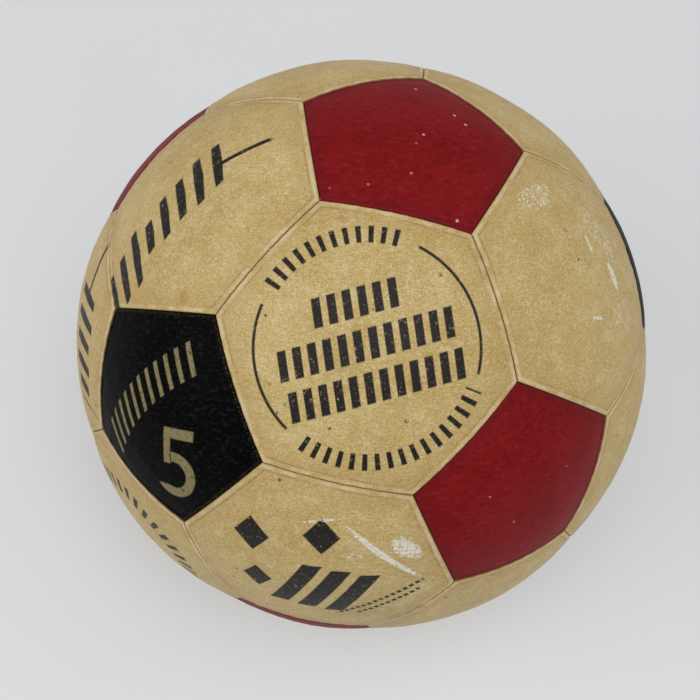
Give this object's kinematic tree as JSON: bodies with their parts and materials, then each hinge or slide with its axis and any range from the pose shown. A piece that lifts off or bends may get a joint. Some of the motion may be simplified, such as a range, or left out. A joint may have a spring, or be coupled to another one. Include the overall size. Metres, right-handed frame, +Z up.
{
  "type": "soccer ball",
  "caption": "Hand-sewn leather soccer ball: hexagonal and pentagonal panels with turned-in sewn rims over cloth linings and a blown bladder, with a plug-type needle valve",
  "frame": {"origin": "centre of the ball", "axes": "+Y out through the valve, along its axis; +Z up as the ball lies on the floor, with the valve level at its side; X completes the frame"},
  "size_m": [0.2188, 0.2198, 0.2186],
  "materials": {
    "cream_leather": "satin",
    "red_leather": "satin",
    "black_leather": "satin",
    "lining_cloth": "matte",
    "waxed_thread": "satin",
    "latex": "matte",
    "valve_rubber": "matte",
    "plug_rubber": "matte"
  },
  "bodies": {
    "ball": {"hexagon_valve": "cream_leather", "hexagon_01": "cream_leather", "hexagon_02": "cream_leather", "hexagon_03": "cream_leather", "hexagon_04": "cream_leather", "hexagon_05": "cream_leather", "hexagon_06": "cream_leather", "hexagon_07": "cream_leather", "hexagon_08": "cream_leather", "hexagon_09": "cream_leather", "hexagon_10": "cream_leather", "hexagon_11": "cream_leather", "hexagon_12": "cream_leather", "hexagon_13": "cream_leather", "hexagon_14": "cream_leather", "hexagon_15": "cream_leather", "hexagon_16": "cream_leather", "hexagon_17": "cream_leather", "hexagon_18": "cream_leather", "hexagon_19": "cream_leather", "red_pentagon_1": "red_leather", "red_pentagon_2": "red_leather", "red_pentagon_3": "red_leather", "red_pentagon_4": "red_leather", "red_pentagon_5": "red_leather", "red_pentagon_6": "red_leather", "black_pentagon_1": "black_leather", "black_pentagon_2": "black_leather", "black_pentagon_3": "black_leather", "black_pentagon_4": "black_leather", "black_pentagon_5": "black_leather", "black_pentagon_6": "black_leather", "valve_lining": "lining_cloth", "hexagon_linings": "lining_cloth", "pentagon_linings": "lining_cloth", "hexagon_stitches": "waxed_thread", "pentagon_stitches": "waxed_thread", "bladder": "latex", "valve_housing": "valve_rubber"},
    "plug": {"valve_plug": "plug_rubber"}
  },
  "joints": [
    {"name": "plug_slide", "type": "slide", "parent": "ball", "child": "plug", "axis": [0, 1, 0], "range_m": [0, 0.016]}
  ]
}
